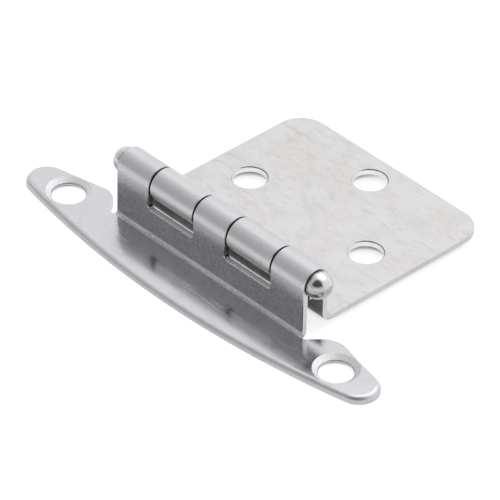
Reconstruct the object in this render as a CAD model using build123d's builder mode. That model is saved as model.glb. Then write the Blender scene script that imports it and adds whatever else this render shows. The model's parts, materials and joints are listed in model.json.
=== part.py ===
from build123d import *
import os
from math import asin, atan2, cos, degrees, radians, sin, tan

# A small surface mount cabinet hinge: a boat-shaped wing leaf, a squared plate leaf
# and the pin that joins them. Both leaves are folded from one thickness of sheet.
# Millimetres and degrees. X runs along the pin, Y from the wing leaf to the plate
# leaf, Z up. The origin is midway between the wing leaf's screws, on its seat.

# Sheet, pin and the barrel they make
sheet = 0.9
pin_diameter = 3.1
pin_clearance = 0.05
curl_gap = 0.3
barrel_length = 38.3
end_knuckle = 6.6
middle_knuckle = 6.5
knuckle_gap = 0.3
knuckle_bevel = 0.12

# Wing leaf: gently crowned towards the fold, with its rim turned down to the seat
wing_length = 70.5
rim_drop = 0.35
rim_width = 0.95
rim_round = 0.75
crown_radius = 70.0
wing_top_to_pin = 7.7
wing_front_to_pin = 10.6
tip_radius = 3.05
tip_setback = 0.1
back_slope = 12.6
wing_fold_radius = 0.5
window_depth = 3.5
window_corner = 0.6
notch_reach = 0.85
notch_slope = 50.0
notch_depth = 2.75
notch_inner_radius = 1.2
shoulder_slope = 20.0
shoulder_radius = 1.5

# Screw holes of the wing leaf, countersunk through the sheet
wing_screw_to_end = 7.6
wing_screws_to_pin = 4.1
wing_hole = 5.0
sink_mouth = 7.0
sink_angle = 118.0

# Plate leaf
plate_width = 38.0
plate_reach = 34.0
plate_top_to_pin = 7.05
plate_bend_radius = 0.95
plate_corner = 4.3
slot_depth = 3.6
slot_corner = 0.6
plate_hole = 5.2
plate_screw_spacing = 24.0
plate_near_to_pin = 16.8
plate_far_to_edge = 4.75
plate_bevel = 0.12

# Domed heads of the pin
head_diameter = 4.15
head_band = 0.35
head_height = 2.35
head_gap = 0.15

# Worked out from the sizes above
pin_radius = pin_diameter / 2
bore_radius = pin_radius + pin_clearance
barrel_radius = bore_radius + sheet
mid_sheet_radius = bore_radius + sheet / 2
half_barrel = barrel_length / 2
middle_edge = middle_knuckle / 2
end_edge = half_barrel - end_knuckle
curl_overrun = degrees(asin((bore_radius - curl_gap) / barrel_radius))
wing_height = sheet + rim_drop
pin_y = wing_screws_to_pin
pin_z = wing_height + wing_top_to_pin
pin_centre = (pin_y, pin_z)
match = 1e-4
plate_top_z = pin_z - plate_top_to_pin

# Lens outline of the wing leaf: a long front arc, two round tips, two straight back edges
# blended into each other where the notch cuts them away
front_y = pin_y - wing_front_to_pin
tip_x = wing_length / 2 - tip_radius
tip_y = -tip_setback
tip_rise = tip_y - front_y
front_radius = (tip_x**2 + tip_rise**2 - tip_radius**2) / (2 * (tip_rise - tip_radius))
front_centre_y = front_y + front_radius
front_turn = atan2(tip_x, front_centre_y - tip_y)
front_end_x = front_radius * sin(front_turn)
front_end_y = front_centre_y - front_radius * cos(front_turn)
back_end_x = tip_x + tip_radius * sin(radians(back_slope))
back_end_y = tip_y + tip_radius * cos(radians(back_slope))
back_middle_y = back_end_y + back_end_x * tan(radians(back_slope))

with BuildSketch() as lens:
    with BuildLine():
        ThreePointArc((-front_end_x, front_end_y), (0, front_y), (front_end_x, front_end_y))
        ThreePointArc((front_end_x, front_end_y), (wing_length / 2, tip_y), (back_end_x, back_end_y))
        Polyline((back_end_x, back_end_y), (0, back_middle_y), (-back_end_x, back_end_y))
        ThreePointArc((-back_end_x, back_end_y), (-wing_length / 2, tip_y), (-front_end_x, front_end_y))
    make_face()
    fillet(vertices().group_by(Axis.Y)[-1], half_barrel)

# Relief notch behind the fold: a sloped side beyond each end of the wall, then a shoulder
# that runs out through the back edge
wing_fold_y = pin_y - barrel_radius - wing_fold_radius
notch_x = half_barrel + notch_reach
shoulder_x = notch_x + notch_depth / tan(radians(notch_slope))
shoulder_y = wing_fold_y + notch_depth
notch_top_y = back_middle_y + sheet
notch_top_x = shoulder_x + (notch_top_y - shoulder_y) / tan(radians(shoulder_slope))

with BuildSketch() as notch:
    with BuildLine():
        Polyline(
            (-notch_x, wing_fold_y),
            (notch_x, wing_fold_y),
            (shoulder_x, shoulder_y),
            (notch_top_x, notch_top_y),
            (-notch_top_x, notch_top_y),
            (-shoulder_x, shoulder_y),
            close=True,
        )
    make_face()
    fillet(vertices().group_by(Axis.Y)[0], notch_inner_radius)
    fillet(vertices().filter_by(lambda v: abs(v.Y - shoulder_y) < match), shoulder_radius)

# Wing leaf
wing_screw_x = wing_length / 2 - wing_screw_to_end
wing_screws = [(-wing_screw_x, 0), (wing_screw_x, 0)]
window_x = (middle_edge + end_edge) / 2
window_z = pin_z - window_depth
crown_z = wing_height - crown_radius

# Hollow under the crowned sheet, inside the rim
with BuildPart() as hollow:
    with BuildSketch():
        add(lens.sketch)
        offset(amount=-rim_width, mode=Mode.REPLACE)
    extrude(amount=wing_height)
    with BuildSketch(Plane.YZ.offset(-wing_length)):
        with Locations((wing_fold_y, crown_z)):
            Circle(crown_radius - sheet)
    extrude(amount=2 * wing_length, mode=Mode.INTERSECT)

# Crowned leaf with its rim rounded over, then the wall and knuckles folded up from it
with BuildPart() as wing_leaf:
    with BuildSketch():
        add(lens.sketch)
    extrude(amount=2 * wing_height)
    with BuildSketch(Plane.YZ.offset(-wing_length)):
        with Locations((wing_fold_y, crown_z)):
            Circle(crown_radius)
    extrude(amount=2 * wing_length, mode=Mode.INTERSECT)
    rim = edges().filter_by(Axis.Z, reverse=True).filter_by(lambda e: e.center().Z > match)
    fillet(rim, rim_round)
    add(hollow.part, mode=Mode.SUBTRACT)
    with BuildSketch():
        add(notch.sketch)
    extrude(amount=2 * wing_height, mode=Mode.SUBTRACT)
    with Locations([(x, y, wing_height) for x, y in wing_screws]):
        CounterSinkHole(wing_hole / 2, sink_mouth / 2, wing_height, sink_angle)

    # Wall folded up in front of the barrel, with its end curled over the pin
    with BuildSketch(Plane.YZ.offset(-half_barrel)):
        with BuildLine():
            fold = CenterArc((wing_fold_y, wing_height + wing_fold_radius),
                             wing_fold_radius + sheet / 2, -90, 90)
            Line(fold @ 1, (pin_y - mid_sheet_radius, pin_z))
            CenterArc(pin_centre, mid_sheet_radius, 180, -270 - curl_overrun)
        trace(line_width=sheet)
    extrude(amount=barrel_length)

    # Windows for the plate leaf's knuckles
    with BuildSketch(Plane.XZ.offset(-pin_y)):
        with Locations((-window_x, window_z), (window_x, window_z)):
            Rectangle(end_edge - middle_edge, window_depth + 2 * barrel_radius,
                      align=(Align.CENTER, Align.MIN))
        fillet(vertices().group_by(Axis.Y)[0], window_corner)
    extrude(amount=2 * barrel_radius, both=True, mode=Mode.SUBTRACT)
    rolled = edges().filter_by(GeomType.CIRCLE).filter_by(lambda e: abs(e.radius - barrel_radius) < match)
    chamfer(rolled, knuckle_bevel)

# Plate leaf
half_plate = plate_width / 2
plate_bend_y = pin_y + barrel_radius + plate_bend_radius
plate_far_y = pin_y + plate_reach
plate_mid_z = plate_top_z - sheet / 2
plate_holes = [
    (-plate_screw_spacing / 2, pin_y + plate_near_to_pin, plate_top_z),
    (plate_screw_spacing / 2, pin_y + plate_near_to_pin, plate_top_z),
    (0, plate_far_y - plate_far_to_edge, plate_top_z),
]
middle_slot = middle_edge + knuckle_gap
end_slot = end_edge - knuckle_gap
slot_z = pin_z - slot_depth

with BuildPart() as plate_leaf:
    with BuildSketch(Plane.YZ.offset(-half_plate)):
        with BuildLine():
            Line((plate_far_y, plate_mid_z), (plate_bend_y, plate_mid_z))
            bend = CenterArc((plate_bend_y, plate_top_z + plate_bend_radius),
                             plate_bend_radius + sheet / 2, -90, -90)
            Line(bend @ 1, (pin_y + mid_sheet_radius, pin_z))
            CenterArc(pin_centre, mid_sheet_radius, 0, 270 + curl_overrun)
        trace(line_width=sheet)
    extrude(amount=plate_width)
    fillet(edges().filter_by(Axis.Z).group_by(Axis.Y)[-1], plate_corner)

    # Slots for the wing leaf's knuckles
    with BuildSketch(Plane.XZ.offset(-pin_y)):
        with Locations((0, slot_z)):
            Rectangle(2 * middle_slot, slot_depth + 2 * barrel_radius,
                      align=(Align.CENTER, Align.MIN))
        for side in (-1, 1):
            with Locations((side * (end_slot + half_barrel), slot_z)):
                Rectangle(2 * half_barrel, slot_depth + 2 * barrel_radius,
                          align=(Align.CENTER, Align.MIN))
        fillet(vertices().group_by(Axis.Y)[0], slot_corner)
    extrude(amount=2 * barrel_radius, both=True, mode=Mode.SUBTRACT)
    rolled = edges().filter_by(GeomType.CIRCLE).filter_by(lambda e: abs(e.radius - barrel_radius) < match)
    chamfer(rolled, knuckle_bevel)
    with Locations(plate_holes):
        Hole(plate_hole / 2, depth=sheet)
    upper = faces().filter_by(Axis.Z).sort_by(SortBy.AREA)[-2:].sort_by(Axis.Z)[-1]
    chamfer(upper.edges().filter_by(lambda e: e.center().Y > plate_bend_y + match), plate_bevel)

# Pin
pin_axis = Axis((0, pin_y, pin_z), (1, 0, 0))
head_radius = head_diameter / 2
head_base_x = half_barrel + head_gap
head_top_x = head_base_x + head_height
dome_height = head_height - head_band
dome_radius = (head_radius**2 + dome_height**2) / (2 * dome_height)

with BuildPart() as hinge_pin:
    with BuildSketch(Plane((0, pin_y, pin_z))):
        with BuildLine():
            base = Polyline((0, 0), (0, pin_radius), (head_base_x, pin_radius),
                            (head_base_x, head_radius), (head_base_x + head_band, head_radius))
            RadiusArc(base @ 1, (head_top_x, 0), dome_radius)
            Line((head_top_x, 0), (0, 0))
        make_face()
        mirror(about=Plane.YZ)
    revolve(axis=pin_axis)

for piece, name in ((wing_leaf, "wing_leaf"), (plate_leaf, "plate_leaf"), (hinge_pin, "hinge_pin")):
    piece.part.label = name

os.makedirs("parts", exist_ok=True)
export_step(wing_leaf.part, "parts/wing_leaf.step")
export_step(plate_leaf.part, "parts/plate_leaf.step")
export_step(hinge_pin.part, "parts/hinge_pin.step")
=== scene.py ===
import json

import bpy
import numpy as np
from mathutils import Matrix, Vector


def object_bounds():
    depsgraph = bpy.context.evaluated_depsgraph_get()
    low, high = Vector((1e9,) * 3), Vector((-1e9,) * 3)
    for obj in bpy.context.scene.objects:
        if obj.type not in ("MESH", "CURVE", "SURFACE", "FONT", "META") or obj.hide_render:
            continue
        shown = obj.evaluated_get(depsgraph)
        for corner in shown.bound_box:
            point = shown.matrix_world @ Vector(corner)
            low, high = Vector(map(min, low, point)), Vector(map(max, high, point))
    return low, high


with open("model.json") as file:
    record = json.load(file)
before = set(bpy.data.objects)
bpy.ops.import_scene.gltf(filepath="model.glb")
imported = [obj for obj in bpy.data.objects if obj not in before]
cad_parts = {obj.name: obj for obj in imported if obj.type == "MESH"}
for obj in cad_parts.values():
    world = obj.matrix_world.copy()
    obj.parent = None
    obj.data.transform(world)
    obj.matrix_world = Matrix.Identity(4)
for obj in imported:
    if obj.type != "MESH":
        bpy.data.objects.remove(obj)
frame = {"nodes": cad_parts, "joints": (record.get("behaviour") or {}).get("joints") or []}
nodes = frame["nodes"]
cad_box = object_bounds()

MM = 0.001

# Where the pin's axis lies, in metres, read from the joint
PIN = Vector(frame["joints"][0]["pos_m"])

# Places that the materials follow, in the pieces' own millimetres: the pin's axis, the wing
# leaf's upper face, where its fold begins, and the barrel's ends
PIN_Y, PIN_Z = (PIN / MM).yz
LEAF_TOP = 1.25
FOLD_Y = 1.1
HALF_BARREL = 19.15

# Bands that hold the screw holes: the wing leaf's each side of Y zero, the plate leaf's each
# side of the middle, and the plate leaf's nearest and farthest from the pin
WING_HOLES = 3.6
PLATE_HOLES_OUT = 16.0
PLATE_HOLES_NEAR = 8.0
PLATE_HOLES_FAR = 32.0

# Camera: angles in degrees, the rest in millimetres, measured from the pin's middle
AZIMUTH = 46.125
ELEVATION = 36.955
ROLL = 1.232
VIEW_RIGHT = 3.816
VIEW_UP = -3.873
DISTANCE = 706.31
SIDE_STEP = 0.2155
SENSOR_MM = 36.0

# Focal length and width of the photograph, in pixels
FOCAL_PIXELS = 5053.5
IMAGE_PIXELS = 500

# Nearest and farthest that the camera sees, in metres
CLIP_NEAR = 0.01
CLIP_FAR = 100.0

# Floor in metres: half its side, and how far below the part it lies
FLOOR_HALF = 3.0
FLOOR_DROP = 0.00002

# Floor's paper: its own white and roughness, its glow to the camera and in the metal, how near
# in millimetres a wall has to be to dim the glow into a painted shadow, and how open the floor
# is where the glow is out and where it is full
FLOOR_WHITE = 0.36
FLOOR_ROUGHNESS = 0.9
FLOOR_GLOW = 0.84
FLOOR_GLOSS = 0.68
FLOOR_SHADE = 4.5
FLOOR_OUT = 0.08
FLOOR_FULL = 0.23

# Room: its light in front and at the back, what the softbox above adds, and the share of the
# light that is left behind the camera
ROOM_FRONT = 0.56
ROOM_BACK = 1.05
SOFTBOX = 0.55
BEHIND_CAMERA = 0.14

# Rays that feel for an edge or for other surfaces, on the metal and on the floor
METAL_SAMPLES = 8
FLOOR_SAMPLES = 16

# A Mix node's colour sockets: the factor and the two colours, and the result
MIX_INPUTS = (0, 6, 7)
MIX_RESULT = 2


def make_camera():
    """A camera with the photograph's angle, distance and focal length."""
    azimuth, elevation, roll = np.radians([AZIMUTH, ELEVATION, ROLL])
    back = np.array([
        np.sin(azimuth) * np.cos(elevation),
        -np.cos(azimuth) * np.cos(elevation),
        np.sin(elevation),
    ])
    level = np.array([np.cos(azimuth), np.sin(azimuth), 0.0])
    upward = np.cross(back, level)
    right = np.cos(roll) * level + np.sin(roll) * upward
    up = -np.sin(roll) * level + np.cos(roll) * upward
    offset = right * VIEW_RIGHT + up * VIEW_UP + back * DISTANCE
    data = bpy.data.cameras.new("camera")
    data.sensor_width = SENSOR_MM
    data.lens = SENSOR_MM * FOCAL_PIXELS / IMAGE_PIXELS
    data.clip_start = CLIP_NEAR
    data.clip_end = CLIP_FAR
    camera = bpy.data.objects.new("camera", data)
    bpy.context.scene.collection.objects.link(camera)
    place = PIN + Vector(offset) * MM + Vector((SIDE_STEP * MM, 0, 0))
    turn = Matrix(list(zip(right, up, back))).to_4x4()
    camera.matrix_world = Matrix.Translation(place) @ turn
    bpy.context.scene.camera = camera


class Nodes:
    """A short way to add and link shader nodes. A value is a number, a colour or a socket."""

    def __init__(self, tree):
        self.tree = tree
        tree.nodes.clear()

    def put(self, socket, value):
        """Links the value if it is a socket, or else sets it."""
        if isinstance(value, bpy.types.NodeSocket):
            self.tree.links.new(value, socket)
        else:
            socket.default_value = value

    def fill(self, node, *values):
        """Puts values into a node's first inputs, in their order."""
        for socket, value in zip(node.inputs, values):
            self.put(socket, value)

    def add(self, kind, settings=None, **inputs):
        """A node with its settings, and with its inputs by name."""
        node = self.tree.nodes.new(kind)
        for name, value in (settings or {}).items():
            setattr(node, name, value)
        for name, value in inputs.items():
            self.put(node.inputs[name.replace("_", " ")], value)
        return node

    def math(self, operation, a, b=0.0):
        node = self.add("ShaderNodeMath", {"operation": operation})
        self.fill(node, a, b)
        return node.outputs["Value"]

    def times(self, first, *others):
        """The product of all the values."""
        for other in others:
            first = self.math("MULTIPLY", first, other)
        return first

    def plus(self, value, mask, amount):
        """The value, with the amount added where the mask is 1."""
        return self.math("ADD", value, self.times(mask, amount))

    def ramp(self, value, low, high, to_low=0.0, to_high=1.0, smooth=True):
        """Goes from to_low to to_high while the value goes from low to high."""
        kind = "SMOOTHSTEP" if smooth else "LINEAR"
        node = self.add("ShaderNodeMapRange", {"interpolation_type": kind})
        self.fill(node, value, low, high, to_low, to_high)
        return node.outputs["Result"]

    def fade(self, value, low, high):
        """Falls from 1 to 0 while the value goes from low to high."""
        return self.ramp(value, low, high, 1.0, 0.0)

    def between(self, value, low, high, soft):
        """1 between low and high, falling to 0 over the soft width outside."""
        return self.times(self.ramp(value, low - soft, low), self.fade(value, high, high + soft))

    def mix(self, factor, a, b, blend="MIX"):
        """From colour a at 0 to colour b at 1."""
        node = self.add("ShaderNodeMix", {"data_type": "RGBA", "blend_type": blend})
        for place, value in zip(MIX_INPUTS, (factor, a, b)):
            self.put(node.inputs[place], value)
        return node.outputs[MIX_RESULT]

    def darken(self, colour, mask, amount):
        """Multiplies a colour by 1 - amount where the mask is 1."""
        shade = self.ramp(mask, 0.0, 1.0, 1.0, 1.0 - amount, smooth=False)
        tone = self.add("ShaderNodeCombineColor", Red=shade, Green=shade, Blue=shade)
        return self.mix(1.0, colour, tone.outputs["Color"], "MULTIPLY")

    def stretch(self, vector, x, y, z):
        """The vector with each of its parts multiplied."""
        node = self.add("ShaderNodeVectorMath", {"operation": "MULTIPLY"})
        self.fill(node, vector, (x, y, z))
        return node.outputs["Vector"]

    def dot(self, a, b):
        node = self.add("ShaderNodeVectorMath", {"operation": "DOT_PRODUCT"})
        self.fill(node, a, b)
        return node.outputs["Value"]

    def turned(self, vector, degrees):
        """The vector turned about Z."""
        angle = float(np.radians(degrees))
        settings = {"rotation_type": "Z_AXIS"}
        node = self.add("ShaderNodeVectorRotate", settings, Vector=vector, Angle=angle)
        return node.outputs["Vector"]

    def axes(self, vector):
        """The vector's X, Y and Z."""
        return self.add("ShaderNodeSeparateXYZ", Vector=vector).outputs

    def position(self):
        """The surface point in the piece's own millimetres."""
        place = self.add("ShaderNodeTexCoord").outputs["Object"]
        return self.stretch(place, 1 / MM, 1 / MM, 1 / MM)

    def facing(self):
        """The X, Y and Z of the surface's normal, which turn with the piece."""
        return self.axes(self.add("ShaderNodeTexCoord").outputs["Normal"])

    def noise(self, vector, scale, detail, roughness, distortion=0.0):
        node = self.add("ShaderNodeTexNoise", Vector=vector, Scale=scale, Detail=detail,
                        Roughness=roughness, Distortion=distortion)
        return node.outputs["Fac"]

    def dots(self, vector, per_mm, size, share):
        """Small round marks: a share of the cells of a random pattern holds one."""
        node = self.add("ShaderNodeTexVoronoi", Vector=vector, Scale=per_mm)
        mark = self.fade(node.outputs["Distance"], size / 2, size)
        pick = self.add("ShaderNodeSeparateColor", Color=node.outputs["Color"]).outputs["Red"]
        return self.times(mark, self.math("GREATER_THAN", pick, 1.0 - share))

    def scratches(self, vector, width, where):
        """Hair lines along the middle level of a noise, kept to where the mask is 1."""
        level = self.noise(vector, scale=1.0, detail=2.0, roughness=0.45, distortion=0.3)
        off_level = self.math("ABSOLUTE", self.math("SUBTRACT", level, 0.5))
        return self.times(self.fade(off_level, 0.0, width), where)

    def worn_edge(self, radius_mm):
        """1 along sharp edges, found by comparing a bevelled normal with the true one."""
        settings = {"samples": METAL_SAMPLES}
        bevel = self.add("ShaderNodeBevel", settings, Radius=radius_mm * MM)
        plain = self.add("ShaderNodeNewGeometry").outputs["Normal"]
        return self.fade(self.dot(bevel.outputs["Normal"], plain), 0.90, 0.995)

    def hemmed_in(self, distance_mm):
        """1 where other surfaces crowd the point, as between the leaves' walls; the materials
        paint shade with it.
        """
        settings = {"samples": METAL_SAMPLES}
        node = self.add("ShaderNodeAmbientOcclusion", settings, Distance=distance_mm * MM)
        return self.fade(node.outputs["AO"], 0.16, 0.62)


def rgb(r, g, b):
    return (r, g, b, 1.0)


def grey(level):
    return rgb(level, level, level)


def new_material(name):
    material = bpy.data.materials.new(name)
    material.use_nodes = True
    return material, Nodes(material.node_tree)


def metal_surface(n, colour, roughness, height, height_mm):
    """The shader that the three plated pieces share."""
    bump = n.add("ShaderNodeBump", Height=height, Strength=1.0, Distance=height_mm * MM)
    shader = n.add("ShaderNodeBsdfPrincipled", Base_Color=colour, Roughness=roughness,
                   Metallic=1.0, Normal=bump.outputs["Normal"])
    n.add("ShaderNodeOutputMaterial", Surface=shader.outputs["BSDF"])


def wing_nickel():
    """Satin bright nickel: faint tints, painted shade on a duller wall and between the leaves,
    painted light on matt cuts, a grainy fold line.
    """
    rosy = rgb(0.648, 0.634, 0.668)
    bluish = rgb(0.626, 0.642, 0.655)
    clouded = rgb(0.600, 0.597, 0.632)
    glinting = grey(0.98)
    rubbed = rgb(0.92, 0.92, 0.93)
    cut_painted_light = rgb(0.95, 0.95, 0.96)

    material, n = new_material("wing_nickel")
    at = n.position()
    x, y, z = n.axes(at)
    off_middle = n.math("ABSOLUTE", x)
    facing = n.facing()
    tint = n.noise(at, scale=0.45, detail=3.0, roughness=0.55)
    cloud = n.noise(at, scale=0.16, detail=4.0, roughness=0.6)
    grain = n.noise(at, scale=5.0, detail=3.0, roughness=0.65)
    colour = n.mix(n.ramp(tint, 0.38, 0.62), rosy, bluish)
    colour = n.mix(n.ramp(cloud, 0.42, 0.66, 0.0, 0.6), colour, clouded)
    colour = n.darken(colour, n.ramp(grain, 0.42, 0.72), 0.12)

    # The wall's front is darker, partly a duller finish and partly painted shade, which fades out
    # up the knuckles
    front = n.fade(facing["Y"], -0.5, -0.1)
    above_leaf = n.ramp(z, LEAF_TOP + 0.2, LEAF_TOP + 0.9)
    below_top = n.fade(z, PIN_Z - 2.4, PIN_Z + 0.9)
    mottle = n.noise(at, scale=2.8, detail=4.0, roughness=0.72)
    wall = n.times(front, above_leaf, below_top, n.ramp(mottle, 0.36, 0.64, 0.50, 1.0))
    colour = n.darken(colour, wall, 0.47)

    # Painted shade where the leaves crowd each other, but not on the barrel's ends or on level
    # faces
    within_ends = n.fade(off_middle, HALF_BARREL - 0.15, HALF_BARREL - 0.05)
    not_level = n.fade(facing["Z"], 0.3, 0.7)
    colour = n.darken(colour, n.times(n.hemmed_in(distance_mm=4.0), within_ends, not_level), 0.80)

    # Grainy line along the inside of the fold, with dark pits and small glints
    fold = FOLD_Y + LEAF_TOP
    along_fold = n.between(n.math("ADD", y, z), fold + 0.02, fold + 0.62, 0.12)
    along_fold = n.times(along_fold, n.fade(off_middle, HALF_BARREL + 0.1, HALF_BARREL + 0.6))
    pits = n.noise(n.stretch(at, 0.8, 1.0, 1.0), scale=4.2, detail=4.0, roughness=0.75)
    colour = n.darken(colour, n.times(along_fold, n.ramp(pits, 0.46, 0.62)), 0.48)
    sparks = n.noise(at, scale=7.0, detail=2.0, roughness=0.6)
    glints = n.times(along_fold, n.ramp(sparks, 0.54, 0.66), 0.8)
    colour = n.mix(glints, colour, glinting)

    # Specks, hair lines and rubbed edges
    specks = n.math("MAXIMUM", n.dots(at, per_mm=1.6, size=0.10, share=0.10),
                    n.dots(at, per_mm=3.1, size=0.16, share=0.05))
    colour = n.darken(colour, specks, 0.35)
    drawn = n.stretch(at, 0.10, 1.3, 1.3)
    hair = n.scratches(drawn, width=0.010, where=n.ramp(cloud, 0.50, 0.58))
    colour = n.darken(colour, hair, 0.10)
    colour = n.mix(n.times(n.worn_edge(radius_mm=0.20), 0.9), colour, rubbed)

    # Painted shade on the sides of the windows
    sideways = n.ramp(n.math("ABSOLUTE", facing["X"]), 0.6, 0.9)
    jamb = n.times(sideways, n.fade(off_middle, HALF_BARREL - 1.0, HALF_BARREL - 0.5))
    colour = n.darken(colour, jamb, 0.65)

    # Matt cuts lightened with painted light where they face up: the windows' sills and the screw
    # holes' countersinks
    level = n.ramp(facing["Z"], 0.45, 0.75)
    sill = n.times(level, n.between(z, LEAF_TOP + 1.5, PIN_Z - 2.7, 0.1))
    sloping = n.between(facing["Z"], 0.82, 0.89, 0.02)
    beyond_barrel = n.ramp(off_middle, HALF_BARREL + 3.0, HALF_BARREL + 4.0)
    cone = n.times(sloping, beyond_barrel, n.between(y, -WING_HOLES, WING_HOLES, 0.1))
    cut = n.math("MAXIMUM", sill, n.times(cone, 0.7))
    colour = n.mix(n.times(cut, n.ramp(grain, 0.35, 0.60, 1.0, 0.8)), colour, cut_painted_light)

    # How much rougher each place is than the plain leaf
    barrel = n.ramp(z, PIN_Z - 2.6, PIN_Z - 0.6)
    rim = n.times(n.fade(facing["Z"], 0.75, 0.97), n.fade(z, LEAF_TOP, LEAF_TOP + 0.1))
    rougher = (
        (along_fold, 0.30), (cut, 0.40), (sill, 0.35), (barrel, 0.17), (rim, 0.26), (hair, 0.10),
    )
    roughness = n.ramp(tint, 0.3, 0.7, 0.15, 0.21, smooth=False)
    for mask, amount in rougher:
        roughness = n.plus(roughness, mask, amount)

    wave = n.times(n.noise(at, scale=0.55, detail=2.0, roughness=0.5), 0.25)
    height = n.plus(wave, grain, 0.06)
    height = n.plus(height, n.times(pits, along_fold), 2.5)
    height = n.plus(height, n.math("ADD", specks, hair), -0.2)
    metal_surface(n, colour, roughness, height, height_mm=0.02)
    return material


def plate_nickel():
    """Dull nickel: warm mottled plate, fine scratches, lines along the knuckles, painted shade on
    the knuckles and between the leaves, painted light in the screw holes.
    """
    pale = rgb(0.660, 0.652, 0.655)
    warm = rgb(0.638, 0.624, 0.617)
    stained = rgb(0.582, 0.562, 0.544)
    dusty = rgb(0.555, 0.545, 0.545)
    rolled_light = rgb(0.645, 0.642, 0.660)
    rolled_dark = rgb(0.612, 0.609, 0.628)
    cut_painted_light = grey(0.97)
    rubbed = rgb(0.78, 0.78, 0.79)

    material, n = new_material("plate_nickel")
    at = n.position()
    x, y, z = n.axes(at)
    facing = n.facing()
    cloud = n.noise(at, scale=0.22, detail=5.0, roughness=0.62)
    blotch = n.noise(n.stretch(at, 0.5, 1.0, 1.0), scale=0.9, detail=5.0, roughness=0.68)
    grain = n.noise(at, scale=6.5, detail=3.0, roughness=0.65)
    colour = n.mix(n.ramp(cloud, 0.40, 0.62), pale, warm)
    stains = n.times(n.ramp(blotch, 0.48, 0.66), n.ramp(x, -14.0, 6.0, 0.90, 0.40))
    colour = n.mix(stains, colour, stained)
    colour = n.mix(n.ramp(grain, 0.40, 0.75, 0.0, 0.35), colour, dusty)

    # The knuckles are cooler and carry lines along the barrel
    knuckle = n.ramp(z, PIN_Z - 3.2, PIN_Z - 2.4)
    lines = n.noise(n.stretch(at, 0.12, 3.4, 3.4), scale=1.5, detail=3.0, roughness=0.6)
    rolled = n.mix(n.ramp(lines, 0.38, 0.64), rolled_light, rolled_dark)
    colour = n.mix(knuckle, colour, rolled)
    # Painted shade: the knuckles darken towards their lower side
    below_top = n.fade(z, PIN_Z - 2.2, PIN_Z + 2.0)
    colour = n.darken(colour, n.times(knuckle, below_top), 0.14)
    # Painted shade where other surfaces crowd the plate, as between the leaves' walls
    colour = n.darken(colour, n.hemmed_in(distance_mm=5.0), 0.82)

    # Painted shade, mottled, on the front of the leaf's own wall, which the wing leaf's wall
    # hides
    below_pin = n.fade(z, PIN_Z - 1.9, PIN_Z - 1.0)
    front = n.fade(facing["Y"], -0.35, 0.0)
    own_wall = n.ramp(y, PIN_Y + 0.6, PIN_Y + 1.2)
    hidden = n.times(below_pin, front, own_wall, n.ramp(blotch, 0.3, 0.6, 0.85, 1.0))
    colour = n.darken(colour, hidden, 0.72)

    # The screw holes' walls are painted near white: painted light
    upright = n.between(facing["Z"], -0.2, 0.2, 0.1)
    near_middle = n.fade(n.math("ABSOLUTE", x), PLATE_HOLES_OUT, PLATE_HOLES_OUT + 0.5)
    behind_pin = n.between(y, PIN_Y + PLATE_HOLES_NEAR, PIN_Y + PLATE_HOLES_FAR, 0.3)
    colour = n.mix(n.times(upright, near_middle, behind_pin), colour, cut_painted_light)

    # Scratches along the plate and others that slant, specks and rubbed edges
    drawn = n.stretch(at, 0.07, 1.5, 1.5)
    hair = n.scratches(drawn, width=0.012, where=n.ramp(blotch, 0.40, 0.52))
    slanting = n.stretch(n.turned(at, degrees=24.0), 0.08, 1.4, 1.0)
    slant = n.scratches(slanting, width=0.008, where=n.ramp(cloud, 0.44, 0.54))
    hair = n.math("MAXIMUM", hair, slant)
    specks = n.math("MAXIMUM", n.dots(at, per_mm=0.9, size=0.09, share=0.12),
                    n.dots(at, per_mm=2.3, size=0.13, share=0.06))
    colour = n.darken(colour, hair, 0.14)
    colour = n.darken(colour, specks, 0.28)
    colour = n.mix(n.times(n.worn_edge(radius_mm=0.18), 0.8), colour, rubbed)

    roughness = n.ramp(blotch, 0.3, 0.7, 0.26, 0.42, smooth=False)
    roughness = n.ramp(knuckle, 0.0, 1.0, roughness, 0.33, smooth=False)
    roughness = n.plus(roughness, hair, 0.12)
    height = n.plus(n.times(grain, 0.5), n.times(lines, knuckle), 0.25)
    height = n.plus(height, n.math("ADD", specks, hair), -0.8)
    metal_surface(n, colour, roughness, height, height_mm=0.008)
    return material


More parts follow.
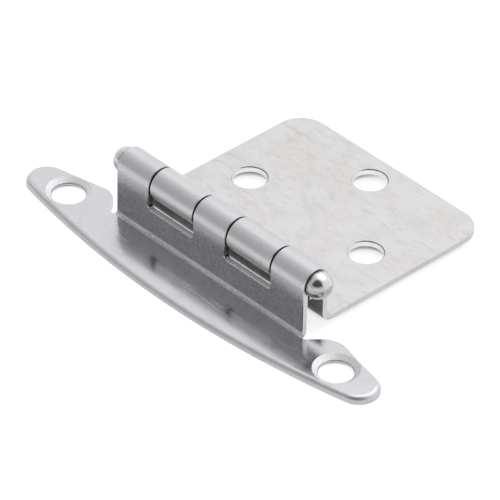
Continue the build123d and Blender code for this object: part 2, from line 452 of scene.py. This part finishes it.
def pin_nickel():
    """Polished nickel, turned lines round it, painted shade on the head's lower half, and grime
    with painted shade where the head meets the knuckle.
    """
    light = rgb(0.70, 0.70, 0.705)
    dark = rgb(0.655, 0.65, 0.655)
    rubbed = grey(0.78)

    material, n = new_material("pin_nickel")
    at = n.position()
    x, _, z = n.axes(at)
    cloud = n.noise(at, scale=0.9, detail=4.0, roughness=0.6)
    colour = n.mix(n.ramp(cloud, 0.40, 0.65), light, dark)
    # Painted shade: the lower half of the head is darkened
    lower = n.fade(z, PIN_Z + 0.2, PIN_Z + 0.9)
    colour = n.darken(colour, n.times(lower, n.ramp(cloud, 0.35, 0.6, 0.8, 1.0)), 0.38)
    # Grime and painted shade where the head meets the knuckle, and painted shade where surfaces
    # crowd it
    root = n.between(n.math("ABSOLUTE", x), HALF_BARREL, HALF_BARREL + 0.30, 0.25)
    dirt = n.noise(at, scale=3.2, detail=4.0, roughness=0.7)
    grime_and_shade = n.times(root, n.ramp(dirt, 0.38, 0.58))
    colour = n.darken(colour, n.math("MAXIMUM", grime_and_shade, n.hemmed_in(distance_mm=1.2)), 0.65)
    colour = n.mix(n.times(n.worn_edge(radius_mm=0.12), 0.4), colour, rubbed)
    specks = n.dots(at, per_mm=2.2, size=0.12, share=0.10)
    colour = n.darken(colour, specks, 0.3)

    roughness = n.ramp(cloud, 0.3, 0.7, 0.13, 0.20, smooth=False)
    roughness = n.plus(roughness, grime_and_shade, 0.35)
    turned = n.noise(n.stretch(at, 5.0, 0.3, 0.3), scale=1.6, detail=2.0, roughness=0.5)
    dents = n.noise(at, scale=0.8, detail=1.0, roughness=0.4)
    height = n.plus(n.times(turned, 0.06), specks, -0.1)
    height = n.plus(height, dents, 2.0)
    metal_surface(n, colour, roughness, height, height_mm=0.04)
    return material


def dress(node, material):
    """Gives the material to all of a node's slots."""
    for slot in nodes[node].material_slots:
        slot.material = material


def make_floor():
    """White paper that takes the shadow. It glows for the camera and in the metal, less where
    it is hemmed in, which paints a shadow there."""
    z = cad_box[0][2] - FLOOR_DROP
    square = ((-1, -1), (1, -1), (1, 1), (-1, 1))
    mesh = bpy.data.meshes.new("floor")
    mesh.from_pydata([(x * FLOOR_HALF, y * FLOOR_HALF, z) for x, y in square], [], [(0, 1, 2, 3)])
    floor = bpy.data.objects.new("floor", mesh)
    bpy.context.scene.collection.objects.link(floor)

    material, n = new_material("floor_paper")
    ray = n.add("ShaderNodeLightPath").outputs
    mirrored = n.math("MAXIMUM", ray["Is Glossy Ray"], ray["Is Transmission Ray"])
    glow = n.math("MAXIMUM", n.times(ray["Is Camera Ray"], FLOOR_GLOW),
                  n.times(mirrored, FLOOR_GLOSS))
    settings = {"samples": FLOOR_SAMPLES}
    openness = n.add("ShaderNodeAmbientOcclusion", settings, Distance=FLOOR_SHADE * MM)
    # Dimming the glow where walls are near paints a contact shadow on the floor
    glow = n.times(glow, n.ramp(openness.outputs["AO"], FLOOR_OUT, FLOOR_FULL))
    paper = n.add("ShaderNodeBsdfPrincipled", Base_Color=grey(FLOOR_WHITE),
                  Roughness=FLOOR_ROUGHNESS)
    light = n.add("ShaderNodeEmission", Color=grey(1.0), Strength=glow)
    both = n.add("ShaderNodeAddShader")
    n.fill(both, paper.outputs["BSDF"], light.outputs["Emission"])
    n.add("ShaderNodeOutputMaterial", Surface=both.outputs["Shader"])
    mesh.materials.append(material)


def make_world():
    """A soft room: light above and behind, dimmer in front, dark behind the camera."""
    world = bpy.data.worlds.new("studio")
    bpy.context.scene.world = world
    world.use_nodes = True
    n = Nodes(world.node_tree)
    direction = n.add("ShaderNodeTexCoord").outputs["Generated"]

    def towards(aim, far, near, low, high):
        """High within the near angle of the aim and low beyond the far one, in degrees."""
        edges = np.cos(np.radians([far, near]))
        aligned = n.dot(direction, Vector(aim).normalized())
        return n.ramp(aligned, float(edges[0]), float(edges[1]), low, high)

    level = towards((0, 1, 0), far=140, near=50, low=ROOM_FRONT, high=ROOM_BACK)
    softbox = towards((0.03, 0.40, 0.90), far=40, near=26, low=0.0, high=SOFTBOX)
    room = towards((0.50, -0.66, 0.56), far=46, near=34, low=1.0, high=BEHIND_CAMERA)

    # Low down, near the horizon, the room isn't darkened
    room = n.math("MAXIMUM", room, n.fade(n.axes(direction)["Z"], 0.26, 0.42))
    level = n.times(n.math("ADD", level, softbox), room)
    background = n.add("ShaderNodeBackground", Color=grey(1.0), Strength=level)
    n.add("ShaderNodeOutputWorld", Surface=background.outputs["Background"])


make_camera()
make_world()
make_floor()
dress("wing_leaf", wing_nickel())
dress("plate_leaf", plate_nickel())
dress("hinge_pin", pin_nickel())

bpy.context.scene.view_settings.view_transform = "Standard"
